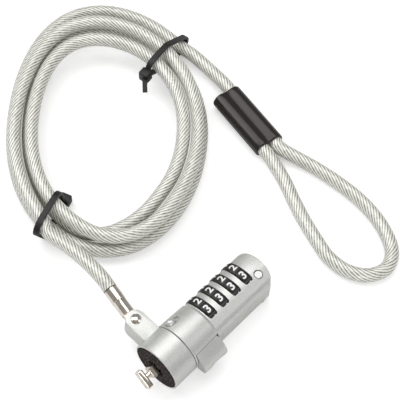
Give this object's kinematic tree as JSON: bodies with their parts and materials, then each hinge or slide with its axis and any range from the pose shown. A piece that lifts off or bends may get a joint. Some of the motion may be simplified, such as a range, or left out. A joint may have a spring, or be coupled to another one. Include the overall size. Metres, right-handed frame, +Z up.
{
  "type": "laptop cable lock",
  "caption": "Combination lock head with a turning T-bar, swivel clevis and thumb lever on a clear-coated steel rope, coiled and tied, with a crimped end loop.",
  "frame": {"origin": "middle of the underside of the lock head and its ferrule, at the height of the surface that it lies on", "axes": "+X along the lock head from the T-bar to the far end, +Y towards the clevis and the coil, +Z up"},
  "size_m": [0.1152, 0.1641, 0.0183],
  "materials": {
    "cast_silver": "satin silver paint on a zinc casting",
    "silver_light": "satin silver paint",
    "nickel": "polished nickel plate",
    "steel": "plain steel",
    "brass": "machined brass",
    "foam": "dense dark foam with a fine grain",
    "dial_black": "black with white numerals",
    "black_vinyl": "glossy black",
    "rope": "galvanised strands under a clear coat"
  },
  "bodies": {
    "rope_end": {"cable_ferrule": "nickel", "cable_lead": "rope", "cable_coil": "rope", "cable_tail": "rope", "cable_loop": "rope", "crimp_ferrule": "steel", "crimp_sleeve": "black_vinyl", "cable_tie_upper": "black_vinyl", "cable_tie_lower": "black_vinyl"},
    "swivel": {"swivel_collar": "cast_silver", "clevis_pin": "nickel"},
    "head": {"main_housing": "cast_silver", "lower_cover": "cast_silver", "cover_screw_1": "steel", "cover_screw_2": "steel", "nose_disc": "silver_light", "foam_pad": "foam", "nose_guide": "nickel", "thrust_washer": "brass", "dial_spindle": "steel", "stop_bead": "silver_light", "lever_spring": "steel", "reset_spring": "steel"},
    "locking_bar": {"tbar_spindle": "nickel", "thumb_lever": "silver_light", "lever_pin": "steel"},
    "reset": {"reset_button": "silver_light"},
    "wheel_1": {"dial_1": "dial_black", "dial_hub_1": "brass"},
    "wheel_2": {"dial_2": "dial_black", "dial_hub_2": "brass"},
    "wheel_3": {"dial_3": "dial_black", "dial_hub_3": "brass"},
    "wheel_4": {"dial_4": "dial_black", "dial_hub_4": "brass"}
  },
  "joints": [
    {"name": "clevis_hinge", "type": "hinge", "parent": "rope_end", "child": "swivel", "pos_m": [-0.01543, 0.00647, 0.01134], "axis": [0, -0.1392, 0.9903], "range_deg": [-30, 14]},
    {"name": "head_swivel", "type": "hinge", "parent": "swivel", "child": "head", "pos_m": [-0.01573, -0.00878, 0.0092], "axis": [1, 0, 0], "continuous": true},
    {"name": "lever_turn", "type": "hinge", "parent": "head", "child": "locking_bar", "pos_m": [-0.00573, -0.00878, 0.0092], "axis": [1, 0, 0], "range_deg": [0, 90], "stiffness_Nm_per_rad": 0.004, "springref_deg": -17.19},
    {"name": "reset_press", "type": "slide", "parent": "head", "child": "reset", "axis": [0, 0, -1], "range_m": [0, 0.0008], "stiffness_N_per_m": 400, "springref_m": -0.0005, "deforming": ["reset_spring"]},
    {"name": "dial_1_turn", "type": "hinge", "parent": "head", "child": "wheel_1", "pos_m": [0.00267, -0.00758, 0.0097], "axis": [1, 0, 0], "continuous": true},
    {"name": "dial_2_turn", "type": "hinge", "parent": "head", "child": "wheel_2", "pos_m": [0.00839, -0.00758, 0.0097], "axis": [1, 0, 0], "continuous": true},
    {"name": "dial_3_turn", "type": "hinge", "parent": "head", "child": "wheel_3", "pos_m": [0.01411, -0.00758, 0.0097], "axis": [1, 0, 0], "continuous": true},
    {"name": "dial_4_turn", "type": "hinge", "parent": "head", "child": "wheel_4", "pos_m": [0.01983, -0.00758, 0.0097], "axis": [1, 0, 0], "continuous": true}
  ]
}
